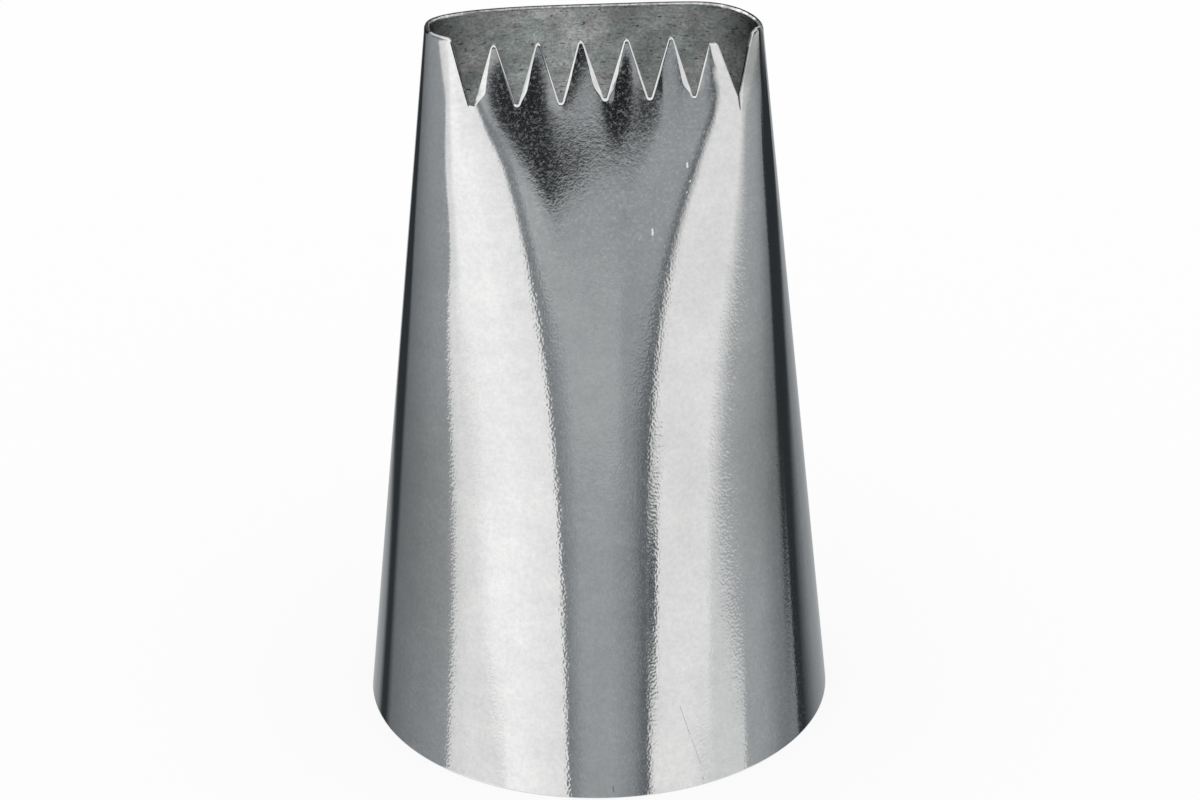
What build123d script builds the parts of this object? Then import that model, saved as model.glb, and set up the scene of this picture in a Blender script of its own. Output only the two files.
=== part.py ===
from build123d import *
from math import cos, sin, pi, hypot, copysign
import os

# A seamless sheet metal piping nozzle. The base is round and stands on XY, with
# the nozzle's axis on Z. The tube rises to a flat mouth, long along X and narrow
# along Y. The front wall, on the -Y side, is toothed and the back wall is plain.
# Every size is in millimetres.

os.makedirs("parts", exist_ok=True)

# Tube
nozzle_height = 56.0
base_diameter = 35.0
mouth_length = 24.7
mouth_width = 6.3
wall = 0.4
rim_edge_radius = 0.12

# Teeth of the front wall
tooth_count = 6
tooth_pitch = 3.26
notch_depth = 4.85
notch_root_radius = 0.15
tip_width = 0.22
post_flank_run = 1.25
comb_shift = 0.74
blunt_tooth = 6
blunt_tooth_drop = 0.6

# How far a cut runs past the faces that it opens
overrun = 1.0

# Shape of the tube between base and mouth: exponent 2 is an ellipse, and a
# larger one is squarer
base_squareness = 2
mouth_squareness = 2.9
squareness_growth = 3
level_count = 9
points_around = 32

base_radius = base_diameter / 2
notch_count = tooth_count + 1


def wall_section(height, inset):
    """The tube's closed section at one height, set inwards by inset."""
    rise = height / nozzle_height
    half_length = base_radius + (mouth_length / 2 - base_radius) * rise
    half_width = base_radius + (mouth_width / 2 - base_radius) * rise
    growth = max(rise, 0) ** squareness_growth
    squareness = base_squareness + (mouth_squareness - base_squareness) * growth
    points = []
    for number in range(points_around):
        angle = 2 * pi * number / points_around
        across, along = abs(cos(angle)), abs(sin(angle))
        x = half_length * across ** (2 / squareness)
        y = half_width * along ** (2 / squareness)
        slope_x = across ** (2 - 2 / squareness) / half_length
        slope_y = along ** (2 - 2 / squareness) / half_width
        steepness = hypot(slope_x, slope_y)
        x -= inset * slope_x / steepness
        y -= inset * slope_y / steepness
        points.append((copysign(x, cos(angle)), copysign(y, sin(angle))))
    return points


def tube_sections(bottom, top, inset):
    """Filled sections at even steps between two heights, set inwards by inset."""
    sections = []
    for number in range(level_count):
        height = bottom + (top - bottom) * number / (level_count - 1)
        with BuildSketch(Plane.XY.offset(height)) as section:
            with BuildLine():
                Spline(*wall_section(height, inset), periodic=True)
            make_face()
        sections.append(section.sketch)
    return sections


def notch_centre(number):
    """Place along X of one notch, the first being number 0."""
    return comb_shift + (number - (notch_count - 1) / 2) * tooth_pitch


# Notches, drawn as seen from the front, each a V that opens past the rim
flank_run = (tooth_pitch - tip_width) / 2
past_rim_share = overrun / notch_depth
with BuildSketch(Plane.XZ) as notches:
    for number in range(notch_count):
        centre = notch_centre(number)
        left_run = post_flank_run if number == 0 else flank_run
        right_run = post_flank_run if number == notch_count - 1 else flank_run
        with BuildLine():
            Polyline(
                (centre, nozzle_height - notch_depth),
                (centre + right_run * (1 + past_rim_share), nozzle_height + overrun),
                (centre - left_run * (1 + past_rim_share), nozzle_height + overrun),
                close=True,
            )
        make_face()
    roots = notches.vertices().group_by(Axis.Y)[0]
    fillet(roots, radius=notch_root_radius)
    # One tooth ends short of the rim, cut off square
    blunt_centre = notch_centre(blunt_tooth - 1) + tooth_pitch / 2
    blunt_low = nozzle_height - blunt_tooth_drop
    with Locations((blunt_centre, blunt_low)):
        Rectangle(tooth_pitch, blunt_tooth_drop + overrun, align=(Align.CENTER, Align.MIN))

# Nozzle shell
with BuildPart() as nozzle_shell:
    outside = tube_sections(0, nozzle_height, 0)
    inside = tube_sections(-overrun, nozzle_height + overrun, wall)
    loft(outside, ruled=True)
    loft(inside, ruled=True, mode=Mode.SUBTRACT)
    rim_faces = nozzle_shell.faces().filter_by(Axis.Z)
    fillet(rim_faces.edges(), radius=rim_edge_radius)
    extrude(notches.sketch, amount=base_radius, mode=Mode.SUBTRACT)

nozzle_shell.part.label = "nozzle_shell"
export_step(nozzle_shell.part, "parts/nozzle_shell.step")
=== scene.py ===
from math import acos, atan2, cos, hypot, pi, radians, sin, tan

import bpy
import numpy as np
from mathutils import Matrix, Vector


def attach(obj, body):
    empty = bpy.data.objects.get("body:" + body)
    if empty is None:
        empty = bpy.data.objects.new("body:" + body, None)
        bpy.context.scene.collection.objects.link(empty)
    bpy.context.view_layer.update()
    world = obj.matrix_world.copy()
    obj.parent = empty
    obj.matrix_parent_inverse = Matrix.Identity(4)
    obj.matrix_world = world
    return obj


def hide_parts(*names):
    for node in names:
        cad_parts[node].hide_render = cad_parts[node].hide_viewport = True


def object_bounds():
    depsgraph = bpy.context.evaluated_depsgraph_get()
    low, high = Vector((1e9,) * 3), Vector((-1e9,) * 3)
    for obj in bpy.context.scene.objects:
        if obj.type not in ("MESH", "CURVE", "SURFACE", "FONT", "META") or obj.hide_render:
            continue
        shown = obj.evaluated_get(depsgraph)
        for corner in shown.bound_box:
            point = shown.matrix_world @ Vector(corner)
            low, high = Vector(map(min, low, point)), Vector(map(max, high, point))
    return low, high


# A sheet metal piping nozzle on a pale floor. Blender works in metres. Sizes below
# are in millimetres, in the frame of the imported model: the nozzle's axis is Z and
# its toothed front wall is on the -Y side.

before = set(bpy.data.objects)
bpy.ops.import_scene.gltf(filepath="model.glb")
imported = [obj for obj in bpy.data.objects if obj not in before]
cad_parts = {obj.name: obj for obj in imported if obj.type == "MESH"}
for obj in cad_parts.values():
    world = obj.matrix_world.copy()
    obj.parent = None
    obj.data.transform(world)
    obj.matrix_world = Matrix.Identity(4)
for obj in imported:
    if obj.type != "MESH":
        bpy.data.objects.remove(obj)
cad_low, cad_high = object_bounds()

MM = 0.001

# Tube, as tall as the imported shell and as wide, less a clearance. The middle of the
# mouth is shifted along X, and the front and back walls bulge half way up.
NOZZLE_HEIGHT = (cad_high.z - cad_low.z) / MM
SKIN_CLEARANCE = 0.02
BASE_RADIUS = (cad_high.x - cad_low.x) / MM / 2 - SKIN_CLEARANCE
MOUTH_HALF_LENGTH = 12.39
MOUTH_HALF_WIDTH = 3.155
MOUTH_SHIFT = 0.145
WALL = 0.4
SIDE_BULGE = 0.85

# How square the mouth is at each corner, the long way and the short way round,
# and how late the tube turns square
FLATNESS_FRONT_LEFT = (5.0, 2.45)
FLATNESS_FRONT_RIGHT = (6.7, 2.65)
FLATNESS_BACK_LEFT = (2.85, 2.8)
FLATNESS_BACK_RIGHT = (5.0, 2.2)
SQUARENESS_GROWTH = 3.6

# Outline of the front edge from the left post to the right one, seen from the
# front. Each row is a corner: its place along X, its height, the radius it is cut
# to, and how wide the edge is rolled over on the flank that follows.
RIM = NOZZLE_HEIGHT
FRONT_OUTLINE = [
    (-11.40, RIM, 0.00, 0.12),
    (-10.40, RIM, 0.30, 0.12),
    (-9.17, 51.27, 0.10, 0.10),
    (-8.86, 51.22, 0.10, 0.56),
    (-7.28, RIM + 0.14, 0.22, 0.14),
    (-5.71, 51.10, 0.14, 0.34),
    (-4.06, RIM + 0.33, 0.22, 0.14),
    (-2.50, 51.24, 0.14, 0.18),
    (-0.95, RIM + 0.40, 0.22, 0.44),
    (0.76, 51.50, 0.14, 0.36),
    (2.42, RIM + 0.41, 0.22, 0.14),
    (4.02, 51.41, 0.14, 0.14),
    (5.67, RIM + 0.41, 0.22, 0.44),
    (7.29, 51.31, 0.14, 0.12),
    (8.41, 55.45, 0.12, 0.10),
    (9.06, 55.42, 0.14, 0.08),
    (10.49, 51.35, 0.30, 0.03),
    (10.69, 49.87, 0.02, 0.03),
    (10.61, 51.45, 0.20, 0.08),
    (11.42, 54.77, 0.60, 0.08),
    (11.80, RIM - 0.26, 0.25, 0.10),
    (12.20, RIM - 0.20, 0.00, 0.12),
]
# Widest roll at a tip and at a root, how far from the root and from the tip a flank's
# roll gets its full width, and how fast it narrows towards the tip
TIP_ROLL, ROOT_ROLL = 0.10, 0.16
ROLL_TAPER_LOW, ROLL_TAPER_HIGH = 1.2, 3.4
ROLL_TAPER_GROWTH = 1.3
# Depth of a roll as a share of its width, and the most that it may be
ROLL_DEPTH_SHARE = 0.30
ROLL_DEPTH_MOST = 0.24
# Profile of the rolled edge: share of its width that is left, and share of its depth
ROLL_PROFILE = [(1.0, 0.0), (0.94, 0.03), (0.5, 0.47), (0.12, 0.86), (0.03, 0.96), (0.0, 1.0)]
# Rolls of the front edge on its inside, of the rim of the back wall on its outside and
# its inside, and of the base edge
INNER_ROLL = 0.12
BACK_ROLL = 0.25
BACK_INNER_ROLL = 0.22
BASE_ROLL = 0.05
# How uneven the back wall's inner roll is, and its two waves from column to column
BACK_BURR = 0.25
BURR_WAVES = (2.1, 0.83)

# The rim is pressed down and rolled over at the right end of the mouth: how far down,
# the place along X where that starts and the places along Y between which it sets in,
# then the width of the roll and the places along X between which it widens
RIM_DIP = 0.69
RIM_DIP_START = 8.0
RIM_DIP_FRONT, RIM_DIP_BACK = -3.0, 1.0
RIM_END_ROLL = 0.26
RIM_END_START, RIM_END_FULL = 11.3, 12.3

# Low spots and high spots of the front wall, pressed when the teeth were cut. Each
# row is a place along X, a height, the half width, the half height and the push.
FRONT_DENTS = [
    (-13.8, 43.8, 4.6, 4.8, -0.26),
    (-12.1, 55.6, 2.0, 7.1, -0.29),
    (-10.7, 45.9, 0.9, 11.2, 0.12),
    (-7.1, 55.5, 2.7, 5.7, -0.31),
    (-3.7, 49.7, 7.2, 5.2, -0.08),
    (1.7, 53.6, 0.8, 2.8, -0.09),
    (4.95, 52.4, 0.55, 1.6, 0.015),
    (6.5, 54.4, 3.4, 4.8, -0.13),
    (8.3, 60.9, 0.9, 5.3, 0.73),
    (8.4, 51.5, 0.9, 2.8, -0.02),
]

# How the pointed teeth were bent: place along X, then at the tip the push, how fast
# the push grows along X and how it grows to both sides
TOOTH_BENDS = [
    (-7.28, 0.009, 0.006, -0.009),
    (-4.06, 0.013, 0.085, 0.009),
    (-0.95, -0.011, 0.033, -0.020),
    (2.42, 0.014, 0.014, 0.004),
    (5.67, -0.036, -0.040, -0.011),
]
# Half the width of a tooth at its root, the heights of the roots and of a tooth over
# them, and how late its bend sets in on the way up
TOOTH_HALF_PITCH = 1.63
TOOTH_ROOT, TOOTH_HEIGHT = 51.0, 5.0
TOOTH_BEND_GROWTH = 1.6

# Marks on the front wall: place along X and height of the two ends, and width
DARK_MARKS = [
    (5.34, 6.57, 6.05, 4.20, 0.035),
    (6.20, 3.80, 6.84, 1.69, 0.030),
    (0.17, 0.98, 0.20, 0.45, 0.070),
    (7.00, 0.62, 7.02, 0.42, 0.060),
]
PALE_MARKS = [
    (6.63, 47.00, 6.66, 46.60, 0.13),
    (3.98, 42.45, 3.99, 41.95, 0.14),
    (6.86, 45.70, 6.80, 45.55, 0.07),
    (6.60, 44.90, 6.56, 44.80, 0.06),
]
# How much of the metal a dark mark covers, and how soft the sides of marks are
DARK_MARK_SHARE = 0.6
MARK_SOFT = 0.5
DARK_MARK_SHADE, PALE_MARK_SHADE = 0.08, 0.95
PALE_MARK_ROUGHNESS = 0.6
# Duller spots of the front wall: place along X, height, half width, half height, depth
SMUDGES = [
    (-13.0, 18.0, 3.5, 16.0, 0.10),
    (12.2, 24.0, 3.0, 13.0, 0.16),
    (11.5, 54.0, 1.3, 3.4, 0.30),
]
# Tint of these spots, and the share of their size within which they are even
SMUDGE_TINT = (1.0, 0.99, 0.965)
SMUDGE_CORE = 0.2
# Share of the outside that dust covers where its noise has its middle value, how much
# this share changes over the noise's range, and how much of it is left on the body
DUST_COVER = 0.005
DUST_CONTRAST = 0.85
DUST_LEFT = 0.4
# Depth of the grain of the sheet on the plain body, the share of it that is left
# near the teeth, and the heights where it starts and where it is full
GRAIN_DEPTH = 0.0032
GRAIN_LEFT = 0.08
GRAIN_START, GRAIN_FULL = 44.0, 36.0
# Depths of the two finer reliefs, the share of them that is left on the teeth, and the
# heights where they start to fade and where only that share is left
PEEL_DEPTH, FINE_DEPTH = 0.0011, 0.0006
TOOTH_LEFT = 0.4
FINE_FADE_START, FINE_FADE_END = 49.0, 52.0
# Dust and grain fade out at both sides of the tube between two places along X, which
# are given at the base and move in with the side of the tube on the way up
SIDE_START, SIDE_END = 14.8, 15.8
# Painted shade on the inside: how much of its brightness its colour keeps from the left end to the
# right one, darker towards the two ends
INSIDE_END_PAINTED_SHADE = [
    (-12.0, 0.62),
    (-11.0, 0.80),
    (-9.5, 0.84),
    (-6.0, 0.82),
    (-4.0, 0.98),
    (-1.0, 1.02),
    (0.5, 0.94),
    (1.5, 0.77),
    (4.0, 0.76),
    (8.0, 0.80),
    (9.2, 0.76),
    (10.5, 0.62),
    (11.5, 0.54),
    (12.2, 0.42),
]
# Painted highlight: shade of the pale line along the inside of the rim from the left end to the
# right one, dimmed to painted shade in places
PAINTED_RIM_HIGHLIGHT = [
    (-12.2, 0.60),
    (-10.0, 0.50),
    (-8.5, 0.24),
    (-6.0, 0.42),
    (6.0, 0.44),
    (9.0, 0.52),
    (10.5, 0.72),
    (12.2, 0.74),
]
# Painted shade: the dark line along its outside
PAINTED_RIM_SHADE = [(-12.2, 0.03), (12.2, 0.03)]

# Number of the material of each stretch of the skin, for the front edge and for the
# plain rim of the ends and the back, which starts at a place along Y, and the
# stretches that the steps of the inner roll belong to
NEAR_SLOTS = {"outside": 0, "over": 0, "face": 0, "lip": 1, "under": 1, "inside": 1, "foot": 0}
# On the far rim, slot 2 is the painted shade line and slot 3 the painted highlight line
FAR_SLOTS = {"outside": 0, "over": 2, "face": 2, "lip": 2, "under": 3, "inside": 1, "foot": 0}
UNDER_STRETCHES = ["lip", "under", "under", "under", "inside", "inside"]
FAR_RIM_FROM = -0.9

# Steps of the mesh, and how fast its rows close up towards the comb and its edge
EDGE_STEP = 0.22
RIM_STEP = 0.30
ARC_STEPS = 7
SKIRT_LEVEL = 47.0
COMB_ROWS = 26
COMB_GROWTH = 1.25
SKIRT_ROWS = 80
SKIRT_GROWTH = 1.4
ROLL_STEPS = 5
FACE_STEPS = 2
RIM_SAMPLES = 4000
# Half the steps round and up that slopes of the tube are measured over
SLOPE_TURN, SLOPE_LIFT = 0.002, 0.02

# Camera: angles in degrees, the focal length in pixels of the frame's width, and the
# distances in metres between which it sees
CAMERA_AZIMUTH = -2.61
CAMERA_ELEVATION = 28.424
CAMERA_ROLL = -0.657
CAMERA_DISTANCE = 500
CAMERA_TARGET = (0.312, -0.014, 24.502)
SENSOR_WIDTH = 36
FRAME_WIDTH_PIXELS = 1200
FOCAL_PIXELS = 6626.3
CAMERA_CLIP_START, CAMERA_CLIP_END = 0.01, 10

# Floor: radius in metres, sides, shade, and how much of it the camera sees as white
FLOOR_RADIUS = 1.6
FLOOR_SIDES = 96
FLOOR_SHADE = 0.95
FLOOR_WHITE_SHARE = 0.8

# Walls of the studio as the metal mirrors them: bearing in degrees, with 0 towards
# the camera's side and 90 towards +X, and brightness. White is 1.
STUDIO_WALLS = [
    (-180, 0.95),
    (-173, 0.50),
    (-152, 0.30),
    (-145, 0.045),
    (-138, 0.040),
    (-131, 0.21),
    (-95, 0.35),
    (-72.4, 0.41),
    (-71.8, 0.95),
    (-65, 1.00),
    (-60, 1.14),
    (-56, 1.25),
    (-40, 1.28),
    (-17.3, 1.12),
    (-16.9, 0.26),
    (-14, 0.35),
    (-9, 0.46),
    (3, 0.46),
    (13, 0.34),
    (20.8, 0.10),
    (21.3, 1.05),
    (52, 1.05),
    (55, 0.96),
    (61, 0.52),
    (76, 0.45),
    (98, 0.28),
    (104, 0.24),
    (110, 0.045),
    (121, 0.040),
    (138, 0.28),
    (173, 0.50),
    (180, 0.95),
]
# The bright walls lean: how far their bearings run outwards for each degree down
# from the level where they are given, to the left and to the right. The last four
# values are the bearings between which the lean sets in, and between which it ends.
WALL_LEAN_LEFT, WALL_LEAN_RIGHT = 1.6, 1.35
LEAN_LEVEL = -13
LEAN_START, LEAN_FULL, LEAN_FADE, LEAN_END = 30, 60, 80, 100

# Lower edge of the dark space over the front wall, as bearing and elevation, the
# bearings between which it lies, and how soft its sides are
DARK_SPACE_EDGE = [
    (-15, 6.4),
    (-11, 5.7),
    (-7, 5.45),
    (-5, 6.15),
    (-3, 7.0),
    (-0.4, 7.5),
    (0.6, 7.95),
    (5, 7.6),
    (6.2, 7.15),
    (7.4, 6.9),
    (9, 6.9),
]
DARK_SPACE_LEFT, DARK_SPACE_RIGHT = -14.4, 9.15
DARK_SPACE_TOP, DARK_SPACE_TOP_SOFT = 13, 1
DARK_SPACE_SOFT = 0.3
DARK_SPACE_BRIGHTNESS = 0.020
# Panels that stand before the walls: bearings of the left and right side, elevation
# of the foot at each side and of the top at each side, how soft the sides are and
# how soft the foot and the top are, and brightness
PANELS = [
    (-166, -142, -27.0, -26.3, -10.0, -10.0, 1.5, 0.6, 0.04),
    (-68, -48, -20.0, -20.0, -12.2, -12.6, 1.0, 0.8, 1.04),
    (-14.2, -9, 1.5, 1.5, 5.3, 5.0, 0.8, 0.8, 0.55),
    (-10, 9, -1.0, -1.0, 4.0, 4.0, 2.0, 1.2, 0.53),
    (8, 18.5, 0.5, 0.5, 7.0, 7.0, 1.5, 1.2, 0.43),
    (20.5, 24.4, -7.8, -7.8, -3.6, -3.6, 0.6, 1.2, 0.12),
    (49, 108, -7.9, -16.8, 5.0, 5.0, 1.0, 0.35, 0.76),
    (52, 72.2, -26.0, -26.0, -9.4, -16.2, 0.6, 0.7, 0.86),
    (43, 53, -26.0, -26.0, -12.6, -12.6, 1.5, 0.8, 0.90),
    (98, 110, -18.0, -21.9, -17.0, -18.3, 1.0, 0.6, 0.04),
    (109, 148, -23.9, -24.1, -18.2, -22.5, 1.5, 0.6, 0.04),
    (96, 113.5, -27.0, -27.0, -22.0, -22.6, 1.0, 0.5, 0.26),
]
# Ground and ceiling: elevations where they start and where they are full, and their
# brightness. Behind the nozzle, past two bearings, the ceiling starts higher.
GROUND_START, GROUND_FULL = -33, -40
GROUND_BRIGHTNESS = 0.85
CEILING_START, CEILING_RISE = 18, 6
CEILING_BACK_LIFT = 26
CEILING_SIDE, CEILING_BACK = 95, 125
CEILING_BRIGHTNESS = 1.2
# Tints of bright and of dark walls, and how fast one turns into the other
WARM_BRIGHT_TINT = (1.0, 1.0, 0.985)
COOL_DARK_TINT = (0.79, 1.0, 1.18)
TINT_GROWTH = 0.25
# The most that a ramp of elevations holds, in degrees
RAMP_RANGE = 10


def smooth_step(share):
    """Smooth step from 0 to 1 as share goes from 0 to 1."""
    share = np.clip(share, 0, 1)
    return share * share * (3 - 2 * share)


def point_on_tube(angle, height):
    """Point of the outside of the tube. angle runs once round, from +X to +Y."""
    rise = height / NOZZLE_HEIGHT
    half_length = BASE_RADIUS + (MOUTH_HALF_LENGTH - BASE_RADIUS) * rise
    half_width = BASE_RADIUS + (MOUTH_HALF_WIDTH - BASE_RADIUS) * rise
    half_width = half_width + SIDE_BULGE * 4 * rise * (1 - rise)
    squared = np.clip(rise, 0, None) ** SQUARENESS_GROWTH
    across, along = np.cos(angle), np.sin(angle)
    left, front = across < 0, along < 0
    corners = (FLATNESS_FRONT_LEFT, FLATNESS_FRONT_RIGHT, FLATNESS_BACK_LEFT, FLATNESS_BACK_RIGHT)
    long_way, short_way = (
        np.where(
            front,
            np.where(left, front_left, front_right),
            np.where(left, back_left, back_right),
        )
        for front_left, front_right, back_left, back_right in zip(*corners)
    )
    square = np.clip(1 - np.abs(across) ** long_way, 0, 1) ** (1 / short_way)
    reach = (1 - squared) * np.abs(along) + squared * square
    x = half_length * across + MOUTH_SHIFT * rise
    y = half_width * np.sign(along) * reach
    facing = np.clip(-2 * along, 0, 1)
    for place, level, half_wide, half_tall, push in FRONT_DENTS:
        spread = ((x - place) / half_wide) ** 2 + ((height - level) / half_tall) ** 2
        y = y - push * facing * np.exp(-spread)
    up_tooth = np.clip((height - TOOTH_ROOT) / TOOTH_HEIGHT, 0, None) ** TOOTH_BEND_GROWTH
    for place, push, twist, dish in TOOTH_BENDS:
        aside = x - place
        own = up_tooth * front * (np.abs(aside) < TOOTH_HALF_PITCH)
        y = y - own * (push + twist * aside + dish * aside * aside)
    return np.stack([x, y, height + 0 * x], -1)


def surface_steps(angle, height):
    """How far the outside runs for a unit of angle and of height, and its normal."""
    around = point_on_tube(angle + SLOPE_TURN, height) - point_on_tube(angle - SLOPE_TURN, height)
    upward = point_on_tube(angle, height + SLOPE_LIFT) - point_on_tube(angle, height - SLOPE_LIFT)
    normal = np.cross(around, upward)
    normal /= np.linalg.norm(normal, axis=-1, keepdims=True)
    around_length = np.linalg.norm(around, axis=-1) / (2 * SLOPE_TURN)
    upward_length = np.linalg.norm(upward, axis=-1) / (2 * SLOPE_LIFT)
    return around_length, upward_length, normal


def front_angle(x, height):
    """Angle of the front wall at one place along X."""
    rise = height / NOZZLE_HEIGHT
    half_length = BASE_RADIUS + (MOUTH_HALF_LENGTH - BASE_RADIUS) * rise
    return -acos((x - MOUTH_SHIFT * rise) / half_length)


def corner_arc(before, corner, after, radius):
    """Points of the arc that a corner of the outline is cut to."""
    back, ahead = (before - corner).normalized(), (after - corner).normalized()
    half_turn = acos(max(-1, min(1, back.dot(ahead)))) / 2
    centre = corner + (back + ahead).normalized() * radius / sin(half_turn)
    start = corner + back * radius / tan(half_turn) - centre
    end = corner + ahead * radius / tan(half_turn) - centre
    first, swing = atan2(start.y, start.x), start.angle_signed(end)
    bearings = [first - swing * step / ARC_STEPS for step in range(ARC_STEPS + 1)]
    return [centre + radius * Vector((cos(bearing), sin(bearing))) for bearing in bearings]


def front_edge():
    """Points of the front edge from left to right, each with its place, its height
    and how wide the edge is rolled over there."""
    places = [Vector(row[:2]) for row in FRONT_OUTLINE]
    arcs = [[places[0]]]
    for number in range(1, len(places) - 1):
        arcs.append(corner_arc(*places[number - 1:number + 2], FRONT_OUTLINE[number][2]))
    arcs.append([places[-1]])
    rolls = [row[3] for row in FRONT_OUTLINE]
    middle = TOOTH_ROOT + TOOTH_HEIGHT / 2
    caps = [TIP_ROLL if row[1] > middle else ROOT_ROLL for row in FRONT_OUTLINE]
    corner_rolls = [min(rounded) for rounded in zip(caps, rolls[:1] + rolls, rolls)]
    edge = []
    for number in range(len(arcs) - 1):
        start, end = arcs[number][-1], arcs[number + 1][0]
        edge += [(point.x, point.y, corner_rolls[number]) for point in arcs[number][:-1]]
        length = (end - start).length
        count = max(2, round(length / EDGE_STEP))
        for step in range(count):
            from_low, from_high = step / count * length, (count - step) / count * length
            if start.y > end.y:
                from_low, from_high = from_high, from_low
            taper = smooth_step(from_low / ROLL_TAPER_LOW)
            taper = taper * min(1, from_high / ROLL_TAPER_HIGH) ** ROLL_TAPER_GROWTH
            point = start.lerp(end, step / count)
            corner_roll = corner_rolls[number if 2 * step < count else number + 1]
            edge.append((point.x, point.y, corner_roll + (rolls[number] - corner_roll) * taper))
    return edge


def mouth_edge():
    """The whole edge of the mouth as arrays: angle, height and roll of each point."""
    front = front_edge()
    loop = [(front_angle(x, z), z, roll) for x, z, roll in front]
    start = front_angle(*FRONT_OUTLINE[-1][:2])
    end = 2 * pi + front_angle(*FRONT_OUTLINE[0][:2])
    fine = np.linspace(start, end, RIM_SAMPLES)
    run = np.linalg.norm(np.diff(point_on_tube(fine, RIM + 0 * fine), axis=0), axis=-1)
    run = np.concatenate([[0], np.cumsum(run)])
    count = round(run[-1] / RIM_STEP)
    back = np.interp(np.linspace(0, run[-1], count, endpoint=False), run, fine)
    x, y, _ = point_on_tube(back, RIM + 0 * back).T
    fall = np.clip((x - RIM_DIP_START) / (MOUTH_HALF_LENGTH - RIM_DIP_START), 0, 1) ** 2
    dips = RIM_DIP * fall * smooth_step((y - RIM_DIP_FRONT) / (RIM_DIP_BACK - RIM_DIP_FRONT))
    back_rolls = FRONT_OUTLINE[-1][3] + (BACK_ROLL - FRONT_OUTLINE[-1][3]) * smooth_step(y)
    loop += list(zip(back, RIM - dips, back_rolls))
    angles, heights, rolls = (np.array(column) for column in zip(*loop))
    x = point_on_tube(angles, heights)[:, 0]
    near_end = smooth_step((x - RIM_END_START) / (RIM_END_FULL - RIM_END_START))
    return angles, heights, np.maximum(rolls, RIM_END_ROLL * near_end)


def edge_direction(angles, heights):
    """How the way out of the sheet, across its edge, runs round and up."""
    points = point_on_tube(angles, heights)
    around, upward, _ = surface_steps(angles, heights)
    next_angles = np.concatenate([angles[1:], [angles[0] + 2 * pi]])
    last_angles = np.concatenate([[angles[-1] - 2 * pi], angles[:-1]])
    across = (next_angles - last_angles) * around
    climb = (np.roll(heights, -1) - np.roll(heights, 1)) * upward
    length = np.hypot(across, climb)
    return -climb / length, across / length


def sheet_vertices():
    """The closed skin of the sheet as a grid: one column for each point of the
    mouth's edge, running up the outside, over the edge, down the inside and round
    the base edge. Also names the stretch that each row belongs to."""
    angles, heights, rolls = mouth_edge()
    around, upward, _ = surface_steps(angles, heights)
    out_round, out_up = edge_direction(angles, heights)
    depths = np.minimum(ROLL_DEPTH_SHARE * rolls, ROLL_DEPTH_MOST)
    number = np.arange(len(angles))
    at_back = smooth_step(point_on_tube(angles, heights)[:, 1])
    first_wave, second_wave = (np.sin(wave * number) for wave in BURR_WAVES)
    uneven = 1 + BACK_BURR * first_wave * second_wave
    inner_rolls = INNER_ROLL + (BACK_INNER_ROLL * uneven - INNER_ROLL) * at_back

    def off_edge(inset):
        """Angles and heights of a row that lies inset from the mouth's edge."""
        return angles - out_round * inset / around, heights - out_up * inset / upward

    def wall_rows(inset, depth, stretch):
        """Rows from the base to the mouth's edge: even ones, then ones along the edge."""
        top_angles, top_heights = off_edge(inset)
        wall = []
        for step in range(SKIRT_ROWS):
            level = BASE_ROLL + (SKIRT_LEVEL - BASE_ROLL) * (step / SKIRT_ROWS) ** SKIRT_GROWTH
            wall.append((top_angles, level + 0 * heights, depth, stretch))
        for step in range(COMB_ROWS):
            share = 1 - (1 - step / COMB_ROWS) ** COMB_GROWTH
            level = SKIRT_LEVEL + (top_heights - SKIRT_LEVEL) * share
            wall.append((top_angles, level, depth, stretch))
        return wall

    outside = wall_rows(rolls, 0 * heights, "outside")
    over = [(*off_edge(share * rolls), depths * sunk, "over") for share, sunk in ROLL_PROFILE]
    face = []
    for step in range(1, FACE_STEPS):
        share = step / FACE_STEPS
        face.append((angles, heights, depths + (WALL - inner_rolls - depths) * share, "face"))
    under = []
    for step in range(ROLL_STEPS + 1):
        lean = pi / 2 * step / ROLL_STEPS
        depth = WALL - inner_rolls * (1 - sin(lean))
        under.append((*off_edge(inner_rolls * (1 - cos(lean))), depth, UNDER_STRETCHES[step]))
    inner = wall_rows(inner_rolls, WALL + 0 * heights, "inside")[::-1]
    foot = []
    base_angles, _ = off_edge(inner_rolls)
    for step in range(1, 2 * ROLL_STEPS):
        lean = pi * step / (2 * ROLL_STEPS)
        level = BASE_ROLL * (1 - sin(lean)) + 0 * heights
        depth = WALL / 2 * (1 - cos(pi - lean)) + 0 * heights
        foot.append((base_angles, level, depth, "foot"))
    rows = outside + over + face + under + inner + foot
    grid = []
    for row_angles, row_heights, row_depths, _ in rows:
        points = point_on_tube(row_angles, row_heights)
        _, _, normal = surface_steps(row_angles, row_heights)
        normal[:, 2] = 0
        normal /= np.linalg.norm(normal, axis=-1, keepdims=True)
        grid.append(points - normal * row_depths[:, None])
    return np.array(grid), [row[-1] for row in rows]


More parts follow.
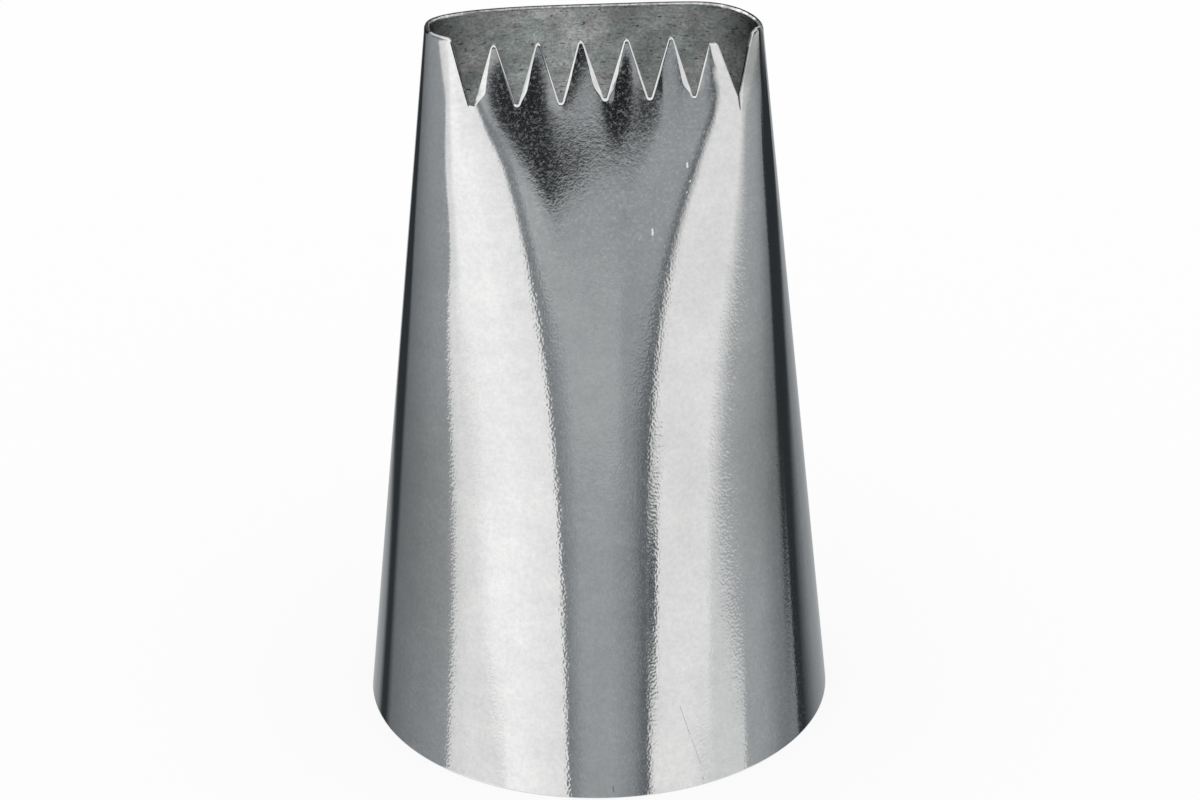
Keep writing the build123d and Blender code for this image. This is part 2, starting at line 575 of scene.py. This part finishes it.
def make_sheet(name):
    """The nozzle as one closed mesh."""
    grid, stretches = sheet_vertices()
    row_count, column_count = grid.shape[:2]
    rows = np.arange(row_count)[:, None]
    columns = np.arange(column_count)[None, :]
    next_rows, next_columns = (rows + 1) % row_count, (columns + 1) % column_count
    corners = (
        (rows, columns),
        (rows, next_columns),
        (next_rows, next_columns),
        (next_rows, columns),
    )
    faces = np.stack([row * column_count + column for row, column in corners], -1)
    mesh = bpy.data.meshes.new(name)
    mesh.from_pydata((grid * MM).reshape(-1, 3).tolist(), [], faces.reshape(-1, 4).tolist())
    mesh.polygons.foreach_set("use_smooth", [True] * len(mesh.polygons))
    top_row = stretches.index("face")
    far = grid[top_row, :, 1] > FAR_RIM_FROM
    near_slots = np.array([NEAR_SLOTS[stretch] for stretch in stretches])[:, None]
    far_slots = np.array([FAR_SLOTS[stretch] for stretch in stretches])[:, None]
    slots = np.where(far[None, :], far_slots, near_slots).astype(np.int32)
    mesh.polygons.foreach_set("material_index", slots.reshape(-1))
    mesh.update()
    sheet = bpy.data.objects.new(name, mesh)
    bpy.context.collection.objects.link(sheet)
    return sheet


def add_node(tree, kind, inputs=None, **settings):
    """A shader node with its settings, and with its inputs linked or set."""
    node = tree.nodes.new(kind)
    for name, value in settings.items():
        setattr(node, name, value)
    for socket, value in (inputs or {}).items():
        if isinstance(value, bpy.types.NodeSocket):
            tree.links.new(value, node.inputs[socket])
        else:
            node.inputs[socket].default_value = value
    return node


def calculate(tree, operation, *values):
    """Output of a Math node."""
    inputs = dict(enumerate(values))
    return add_node(tree, "ShaderNodeMath", inputs, operation=operation).outputs[0]


def mix_colours(tree, share, first, second, blend="MIX"):
    """Output of a Mix node for colours."""
    inputs = {0: share, 6: first, 7: second}
    return add_node(tree, "ShaderNodeMix", inputs, data_type="RGBA", blend_type=blend).outputs[2]


def ramp(tree, value, stops):
    """Colour that follows a value through stops of (position, colour)."""
    node = add_node(tree, "ShaderNodeValToRGB", {0: value})
    elements = node.color_ramp.elements
    while len(elements) < len(stops):
        elements.new(0.5)
    for element, (position, colour) in zip(elements, stops):
        element.position = position
        element.color = (*colour, 1)
    return node.outputs[0]


def grey(value):
    """Colour of one value in all three channels."""
    return (value, value, value)


def noise(tree, where, size, stretch=(1, 1, 1), detail=2.0, roughness=0.5):
    """Noise from 0 to 1 with features of about one size, stretched along X, Y, Z."""
    scale = [1 / (size * MM * length) for length in stretch]
    place = add_node(tree, "ShaderNodeMapping", {"Vector": where, "Scale": scale}).outputs[0]
    inputs = {"Vector": place, "Scale": 1.0, "Detail": detail, "Roughness": roughness}
    return add_node(tree, "ShaderNodeTexNoise", inputs).outputs["Fac"]


def bump(tree, height, depth, normal=None):
    """Normal bumped by a height from 0 to 1 that is depth millimetres deep."""
    inputs = {"Height": height, "Distance": depth * MM, "Strength": 1.0}
    if normal is not None:
        inputs["Normal"] = normal
    return add_node(tree, "ShaderNodeBump", inputs).outputs[0]


def step_between(tree, value, start, end):
    """Smooth step from 0 at start to 1 at end."""
    inputs = {"Value": value, "From Min": start, "From Max": end}
    return add_node(tree, "ShaderNodeMapRange", inputs, interpolation_type="SMOOTHSTEP").outputs[0]


def between(tree, value, low, high, soft):
    """1 between two limits, 0 outside them, with soft sides."""
    after = step_between(tree, value, low - soft, low + soft)
    before = step_between(tree, value, high + soft, high - soft)
    return calculate(tree, "MULTIPLY", after, before)


def new_material(name):
    """A material with an empty node tree, and that tree."""
    material = bpy.data.materials.new(name)
    material.use_nodes = True
    material.node_tree.nodes.clear()
    return material, material.node_tree


def finish_material(tree, colour, roughness, normal, bare):
    """Ends a metal. bare is the share that no dust covers."""
    inputs = {"Base Color": colour, "Metallic": bare, "Roughness": roughness, "Normal": normal}
    shader = add_node(tree, "ShaderNodeBsdfPrincipled", inputs).outputs[0]
    add_node(tree, "ShaderNodeOutputMaterial", {"Surface": shader})


def near_line(tree, where, start_x, start_z, end_x, end_z, width):
    """1 on a short line of the front wall, drawn as seen from the front, else 0."""
    x, y, z = add_node(tree, "ShaderNodeSeparateXYZ", {0: where}).outputs
    run, climb = (end_x - start_x) * MM, (end_z - start_z) * MM
    from_x = calculate(tree, "SUBTRACT", x, start_x * MM)
    from_z = calculate(tree, "SUBTRACT", z, start_z * MM)
    length = hypot(run, climb)
    along = calculate(tree, "MULTIPLY", from_x, run / length)
    along = calculate(tree, "MULTIPLY_ADD", from_z, climb / length, along)
    across = calculate(tree, "MULTIPLY", from_x, climb / length)
    across = calculate(tree, "MULTIPLY_ADD", from_z, -run / length, across)
    across = calculate(tree, "ABSOLUTE", across)
    half = width * MM / 2
    close = step_between(tree, across, half * (1 + MARK_SOFT), half * (1 - MARK_SOFT))
    within = between(tree, along, 0, length, half)
    in_front = calculate(tree, "LESS_THAN", y, 0.0)
    return calculate(tree, "MULTIPLY", calculate(tree, "MULTIPLY", close, within), in_front)


def smudge_share(tree, where, place, level, half_wide, half_tall):
    """1 in the middle of a smudge of the front wall, fading to 0 at its edge."""
    x, y, z = add_node(tree, "ShaderNodeSeparateXYZ", {0: where}).outputs
    across = calculate(tree, "MULTIPLY_ADD", x, 1 / (half_wide * MM), -place / half_wide)
    upright = calculate(tree, "MULTIPLY_ADD", z, 1 / (half_tall * MM), -level / half_tall)
    across = calculate(tree, "MULTIPLY", across, across)
    away = calculate(tree, "SQRT", calculate(tree, "MULTIPLY_ADD", upright, upright, across))
    in_front = calculate(tree, "LESS_THAN", y, 0.0)
    return calculate(tree, "MULTIPLY", step_between(tree, away, 1.0, SMUDGE_CORE), in_front)


def shade_along(tree, where, shades):
    """Grey that follows the place along X through rows of place and shade."""
    first, last = shades[0][0], shades[-1][0]
    along = add_node(tree, "ShaderNodeSeparateXYZ", {0: where}).outputs[0]
    along = calculate(tree, "MULTIPLY_ADD", along, 1 / (last - first) / MM, -first / (last - first))
    return ramp(tree, along, [((x - first) / (last - first), grey(shade)) for x, shade in shades])


def bright_sheet_material():
    """Bright rolled sheet: fine dust, faint smudges and a few marks."""
    material, tree = new_material("bright_sheet")
    where = add_node(tree, "ShaderNodeTexCoord").outputs["Object"]
    grain = noise(tree, where, size=0.14, detail=1.0)
    peel = noise(tree, where, size=0.28, detail=1.0)
    relief = noise(tree, where, size=0.16, stretch=(1, 1, 1.3), detail=0.0)
    dust = noise(tree, where, size=0.24, stretch=(1.1, 1.1, 1), detail=1.0, roughness=0.9)
    stains = noise(tree, where, size=1.8, stretch=(1.6, 1.6, 1), detail=3.0, roughness=0.6)
    clouds = noise(tree, where, size=7.0, stretch=(1, 1, 2), detail=3.0)
    mottle = noise(tree, where, size=0.36, roughness=0.8)
    stain_colour = ramp(tree, stains, [(0.3, (0.638, 0.645, 0.650)), (0.7, (0.694, 0.698, 0.700))])
    cloud_colour = ramp(tree, clouds, [(0.3, grey(0.94)), (0.7, grey(1.01))])
    mottle_colour = ramp(tree, mottle, [(0.3, grey(0.935)), (0.7, grey(1.065))])
    colour = mix_colours(tree, 1.0, stain_colour, cloud_colour, blend="MULTIPLY")
    colour = mix_colours(tree, 1.0, colour, mottle_colour, blend="MULTIPLY")
    for place, level, half_wide, half_tall, depth in SMUDGES:
        share = smudge_share(tree, where, place, level, half_wide, half_tall)
        shade = [(1 - depth) * tint for tint in SMUDGE_TINT]
        colour = mix_colours(tree, share, colour, (*shade, 1), blend="MULTIPLY")
    for mark in DARK_MARKS:
        share = calculate(tree, "MULTIPLY", near_line(tree, where, *mark), DARK_MARK_SHARE)
        colour = mix_colours(tree, share, colour, (*grey(DARK_MARK_SHADE), 1))
    roughness = ramp(tree, clouds, [(0.35, grey(0.05)), (0.65, grey(0.07))])
    for mark in PALE_MARKS:
        share = near_line(tree, where, *mark)
        colour = mix_colours(tree, share, colour, (*grey(PALE_MARK_SHADE), 1))
        roughness = mix_colours(tree, share, roughness, (*grey(PALE_MARK_ROUGHNESS), 1))
    along, _, level = add_node(tree, "ShaderNodeSeparateXYZ", {0: where}).outputs
    taper = (BASE_RADIUS - MOUTH_HALF_LENGTH) / NOZZLE_HEIGHT
    side = calculate(tree, "MULTIPLY_ADD", level, taper, calculate(tree, "ABSOLUTE", along))
    middle = step_between(tree, side, SIDE_END * MM, SIDE_START * MM)
    dust = calculate(tree, "MULTIPLY_ADD", dust, DUST_CONTRAST, DUST_COVER - DUST_CONTRAST / 2)
    dust = calculate(tree, "MULTIPLY", calculate(tree, "MAXIMUM", dust, 0.0), middle)
    lower = step_between(tree, level, GRAIN_START * MM, GRAIN_FULL * MM)
    dust_left = calculate(tree, "MULTIPLY_ADD", lower, DUST_LEFT - 1, 1.0)
    dust = calculate(tree, "MULTIPLY", dust, dust_left)
    bare = calculate(tree, "SUBTRACT", 1.0, dust)
    strength = calculate(tree, "MULTIPLY_ADD", lower, 1 - GRAIN_LEFT, GRAIN_LEFT)
    strength = calculate(tree, "MULTIPLY", strength, middle)
    on_body = step_between(tree, level, FINE_FADE_END * MM, FINE_FADE_START * MM)
    on_body = calculate(tree, "MULTIPLY_ADD", on_body, 1 - TOOTH_LEFT, TOOTH_LEFT)
    normal = bump(tree, calculate(tree, "MULTIPLY", peel, on_body), PEEL_DEPTH)
    normal = bump(tree, calculate(tree, "MULTIPLY", grain, on_body), FINE_DEPTH, normal)
    normal = bump(tree, calculate(tree, "MULTIPLY", relief, strength), GRAIN_DEPTH, normal)
    finish_material(tree, colour, roughness, normal, bare)
    return material


def dull_sheet_material():
    """The inside: duller, mottled, with painted shade that darkens it towards the two ends, and
    small dark pits.
    """
    material, tree = new_material("dull_sheet")
    where = add_node(tree, "ShaderNodeTexCoord").outputs["Object"]
    grain = noise(tree, where, size=0.2)
    dust = noise(tree, where, size=0.24, stretch=(1.1, 1.1, 1), roughness=0.8)
    mottle = noise(tree, where, size=1.5, stretch=(1.2, 1.2, 1.0), detail=4.0, roughness=0.55)
    stain = noise(tree, where, size=2.6)
    pits = noise(tree, where, size=0.42, stretch=(1.6, 1.6, 0.8), roughness=0.6)
    dashes = noise(tree, where, size=0.24, stretch=(2.4, 2.4, 0.5), detail=1.0)
    mottle_colour = ramp(tree, mottle, [(0.34, grey(0.50)), (0.50, grey(0.62)), (0.66, grey(0.76))])
    stain_colour = ramp(tree, stain, [(0.38, (0.93, 1.0, 0.98)), (0.60, (1.0, 0.985, 0.995))])
    dust_colour = ramp(tree, dust, [(0.3, grey(0.62)), (0.7, grey(1.34))])
    pit_colour = ramp(tree, pits, [(0.29, grey(0.15)), (0.33, grey(1.0))])
    dash_colour = ramp(tree, dashes, [(0.28, grey(0.3)), (0.33, grey(1.0))])
    # Painted shade: the inside's colour is darkened towards its two ends
    painted_end_shade = shade_along(tree, where, INSIDE_END_PAINTED_SHADE)
    colour = mottle_colour
    for layer in (stain_colour, dust_colour, pit_colour, dash_colour, painted_end_shade):
        colour = mix_colours(tree, 1.0, colour, layer, blend="MULTIPLY")
    roughness = ramp(tree, mottle, [(0.3, grey(0.38)), (0.7, grey(0.26))])
    normal = bump(tree, mottle, depth=0.03)
    normal = bump(tree, grain, depth=0.004, normal=normal)
    finish_material(tree, colour, roughness, normal, bare=1.0)
    return material


def rim_material(name, shades):
    """The rim of the sheet: specks over painted light and shade that changes along X."""
    material, tree = new_material(name)
    where = add_node(tree, "ShaderNodeTexCoord").outputs["Object"]
    specks = noise(tree, where, size=0.22, stretch=(1.6, 1.6, 1), roughness=0.7)
    speck_colour = ramp(tree, specks, [(0.36, grey(0.65)), (0.62, grey(1.35))])
    # The shade along X is painted light: painted shade on the dark rim, a painted highlight on the
    # pale one
    colour = shade_along(tree, where, shades)
    colour = mix_colours(tree, 1.0, colour, speck_colour, blend="MULTIPLY")
    roughness = ramp(tree, specks, [(0.3, grey(0.34)), (0.7, grey(0.24))])
    normal = bump(tree, specks, depth=0.008)
    finish_material(tree, colour, roughness, normal, bare=1.0)
    return material


def make_floor():
    """A pale floor that shows nearly white and keeps the nozzle's shadow."""
    bpy.ops.mesh.primitive_circle_add(vertices=FLOOR_SIDES, radius=FLOOR_RADIUS, fill_type="NGON")
    floor = bpy.context.object
    floor.name = "floor"
    floor.visible_glossy = False
    material, tree = new_material("pale_floor")
    pale = add_node(tree, "ShaderNodeBsdfDiffuse", {"Color": (*grey(FLOOR_SHADE), 1)}).outputs[0]
    white = add_node(tree, "ShaderNodeEmission", {"Color": (*grey(1.0), 1)}).outputs[0]
    seen = add_node(tree, "ShaderNodeLightPath").outputs["Is Camera Ray"]
    share = calculate(tree, "MULTIPLY", seen, FLOOR_WHITE_SHARE)
    mixed = add_node(tree, "ShaderNodeMixShader", {0: share, 1: pale, 2: white}).outputs[0]
    add_node(tree, "ShaderNodeOutputMaterial", {"Surface": mixed})
    floor.data.materials.append(material)


def studio_tint(brightness):
    """Colour of a wall of one brightness: dark ones are a little cool."""
    share = min(1, brightness) ** TINT_GROWTH
    pairs = zip(COOL_DARK_TINT, WARM_BRIGHT_TINT)
    return tuple(brightness * (dark + (bright - dark) * share) for dark, bright in pairs)


def height_over(tree, bearing, elevation, left, right, left_edge, right_edge):
    """Elevation over an edge that runs from one bearing to another."""
    climb = (right_edge - left_edge) / (right - left)
    edge = calculate(tree, "MULTIPLY_ADD", bearing, climb, left_edge - climb * left)
    return calculate(tree, "SUBTRACT", elevation, edge)


def panel_share(tree, bearing, elevation, left, right, left_foot, right_foot, left_top, right_top,
                side_soft, end_soft):
    """Share of one panel at a bearing and an elevation, in degrees."""
    over_foot = height_over(tree, bearing, elevation, left, right, left_foot, right_foot)
    over_top = height_over(tree, bearing, elevation, left, right, left_top, right_top)
    above = step_between(tree, over_foot, -end_soft, end_soft)
    below = step_between(tree, over_top, end_soft, -end_soft)
    upright = calculate(tree, "MULTIPLY", above, below)
    return calculate(tree, "MULTIPLY", upright, between(tree, bearing, left, right, side_soft))


def ramp_round(tree, bearing, stops):
    """Colour that follows a bearing through stops of (bearing, colour). The ramp runs
    from behind over the left, the front and the right, as a share of a full turn."""
    turn = calculate(tree, "MULTIPLY_ADD", bearing, 1 / 360, 0.5)
    return ramp(tree, turn, [(angle / 360 + 0.5, colour) for angle, colour in stops])


def dark_space(tree, bearing, elevation):
    """Share of the dark space over the front wall."""
    stops = [(angle, grey(edge / RAMP_RANGE)) for angle, edge in DARK_SPACE_EDGE]
    foot = calculate(tree, "MULTIPLY", ramp_round(tree, bearing, stops), RAMP_RANGE)
    above = calculate(tree, "SUBTRACT", elevation, foot)
    above = step_between(tree, above, -DARK_SPACE_SOFT, DARK_SPACE_SOFT)
    top_full, top_end = DARK_SPACE_TOP - DARK_SPACE_TOP_SOFT, DARK_SPACE_TOP + DARK_SPACE_TOP_SOFT
    below = step_between(tree, elevation, top_end, top_full)
    upright = calculate(tree, "MULTIPLY", above, below)
    across = between(tree, bearing, DARK_SPACE_LEFT, DARK_SPACE_RIGHT, DARK_SPACE_SOFT)
    return calculate(tree, "MULTIPLY", upright, across)


def leaning_bearing(tree, bearing, elevation):
    """Bearing at which the walls' brightness is looked up."""
    away = calculate(tree, "ABSOLUTE", bearing)
    share = step_between(tree, away, LEAN_START, LEAN_FULL)
    share = calculate(tree, "MULTIPLY", share, step_between(tree, away, LEAN_END, LEAN_FADE))
    right = calculate(tree, "GREATER_THAN", bearing, 0.0)
    lean = calculate(tree, "MULTIPLY_ADD", right, WALL_LEAN_RIGHT + WALL_LEAN_LEFT, -WALL_LEAN_LEFT)
    height = calculate(tree, "SUBTRACT", elevation, LEAN_LEVEL)
    shift = calculate(tree, "MULTIPLY", calculate(tree, "MULTIPLY", share, lean), height)
    return calculate(tree, "ADD", bearing, shift)


def make_world():
    """White for the camera and for the floor's light, and studio walls of different
    brightness for the metal to mirror."""
    world = bpy.data.worlds.new("studio")
    bpy.context.scene.world = world
    world.use_nodes = True
    world.cycles.sampling_method = "NONE"
    tree = world.node_tree
    tree.nodes.clear()
    where = add_node(tree, "ShaderNodeTexCoord").outputs["Generated"]
    x, y, z = add_node(tree, "ShaderNodeSeparateXYZ", {0: where}).outputs
    bearing = calculate(tree, "ARCTAN2", x, calculate(tree, "MULTIPLY", y, -1.0))
    bearing = calculate(tree, "MULTIPLY", bearing, 180 / pi)
    elevation = calculate(tree, "MULTIPLY", calculate(tree, "ARCSINE", z), 180 / pi)
    stops = [(angle, studio_tint(bright)) for angle, bright in STUDIO_WALLS]
    colour = ramp_round(tree, leaning_bearing(tree, bearing, elevation), stops)
    for *panel, bright in PANELS:
        share = panel_share(tree, bearing, elevation, *panel)
        colour = mix_colours(tree, share, colour, (*studio_tint(bright), 1))
    share = dark_space(tree, bearing, elevation)
    colour = mix_colours(tree, share, colour, (*studio_tint(DARK_SPACE_BRIGHTNESS), 1))
    share = step_between(tree, elevation, GROUND_START, GROUND_FULL)
    colour = mix_colours(tree, share, colour, (*studio_tint(GROUND_BRIGHTNESS), 1))
    lift = step_between(tree, calculate(tree, "ABSOLUTE", bearing), CEILING_SIDE, CEILING_BACK)
    height = calculate(tree, "MULTIPLY_ADD", lift, -CEILING_BACK_LIFT, elevation)
    share = step_between(tree, height, CEILING_START, CEILING_START + CEILING_RISE)
    colour = mix_colours(tree, share, colour, (*studio_tint(CEILING_BRIGHTNESS), 1))
    mirrored = add_node(tree, "ShaderNodeBackground", {"Color": colour}).outputs[0]
    plain = add_node(tree, "ShaderNodeBackground", {"Color": (*grey(1.0), 1)}).outputs[0]
    glossy = add_node(tree, "ShaderNodeLightPath").outputs["Is Glossy Ray"]
    mixed = add_node(tree, "ShaderNodeMixShader", {0: glossy, 1: plain, 2: mirrored}).outputs[0]
    add_node(tree, "ShaderNodeOutputWorld", {"Surface": mixed})


def make_camera():
    """The camera, where the photograph was taken from."""
    data = bpy.data.cameras.new("camera")
    camera = bpy.data.objects.new("camera", data)
    bpy.context.collection.objects.link(camera)
    azimuth, elevation = radians(CAMERA_AZIMUTH), radians(CAMERA_ELEVATION)
    roll = radians(CAMERA_ROLL)
    back = Vector((sin(azimuth) * cos(elevation), -cos(azimuth) * cos(elevation), sin(elevation)))
    right = Vector((cos(azimuth), sin(azimuth), 0))
    up = back.cross(right)
    rolled_right = right * cos(roll) + up * sin(roll)
    rolled_up = up * cos(roll) - right * sin(roll)
    camera.matrix_world = Matrix((rolled_right, rolled_up, back)).transposed().to_4x4()
    camera.location = (Vector(CAMERA_TARGET) + back * CAMERA_DISTANCE) * MM
    data.sensor_width = SENSOR_WIDTH
    data.lens = FOCAL_PIXELS / FRAME_WIDTH_PIXELS * SENSOR_WIDTH
    data.clip_start, data.clip_end = CAMERA_CLIP_START, CAMERA_CLIP_END
    bpy.context.scene.camera = camera


sheet = make_sheet("nozzle_sheet")
sheet.data.materials.append(bright_sheet_material())
sheet.data.materials.append(dull_sheet_material())
# The rim's outer roll and face carry a painted shade line, and its inner roll a painted highlight
# line
sheet.data.materials.append(rim_material("painted_shade_rim", PAINTED_RIM_SHADE))
sheet.data.materials.append(rim_material("painted_highlight_rim", PAINTED_RIM_HIGHLIGHT))
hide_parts("nozzle_shell")
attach(sheet, "root")

make_floor()
make_world()
make_camera()
bpy.context.scene.view_settings.view_transform = "Standard"
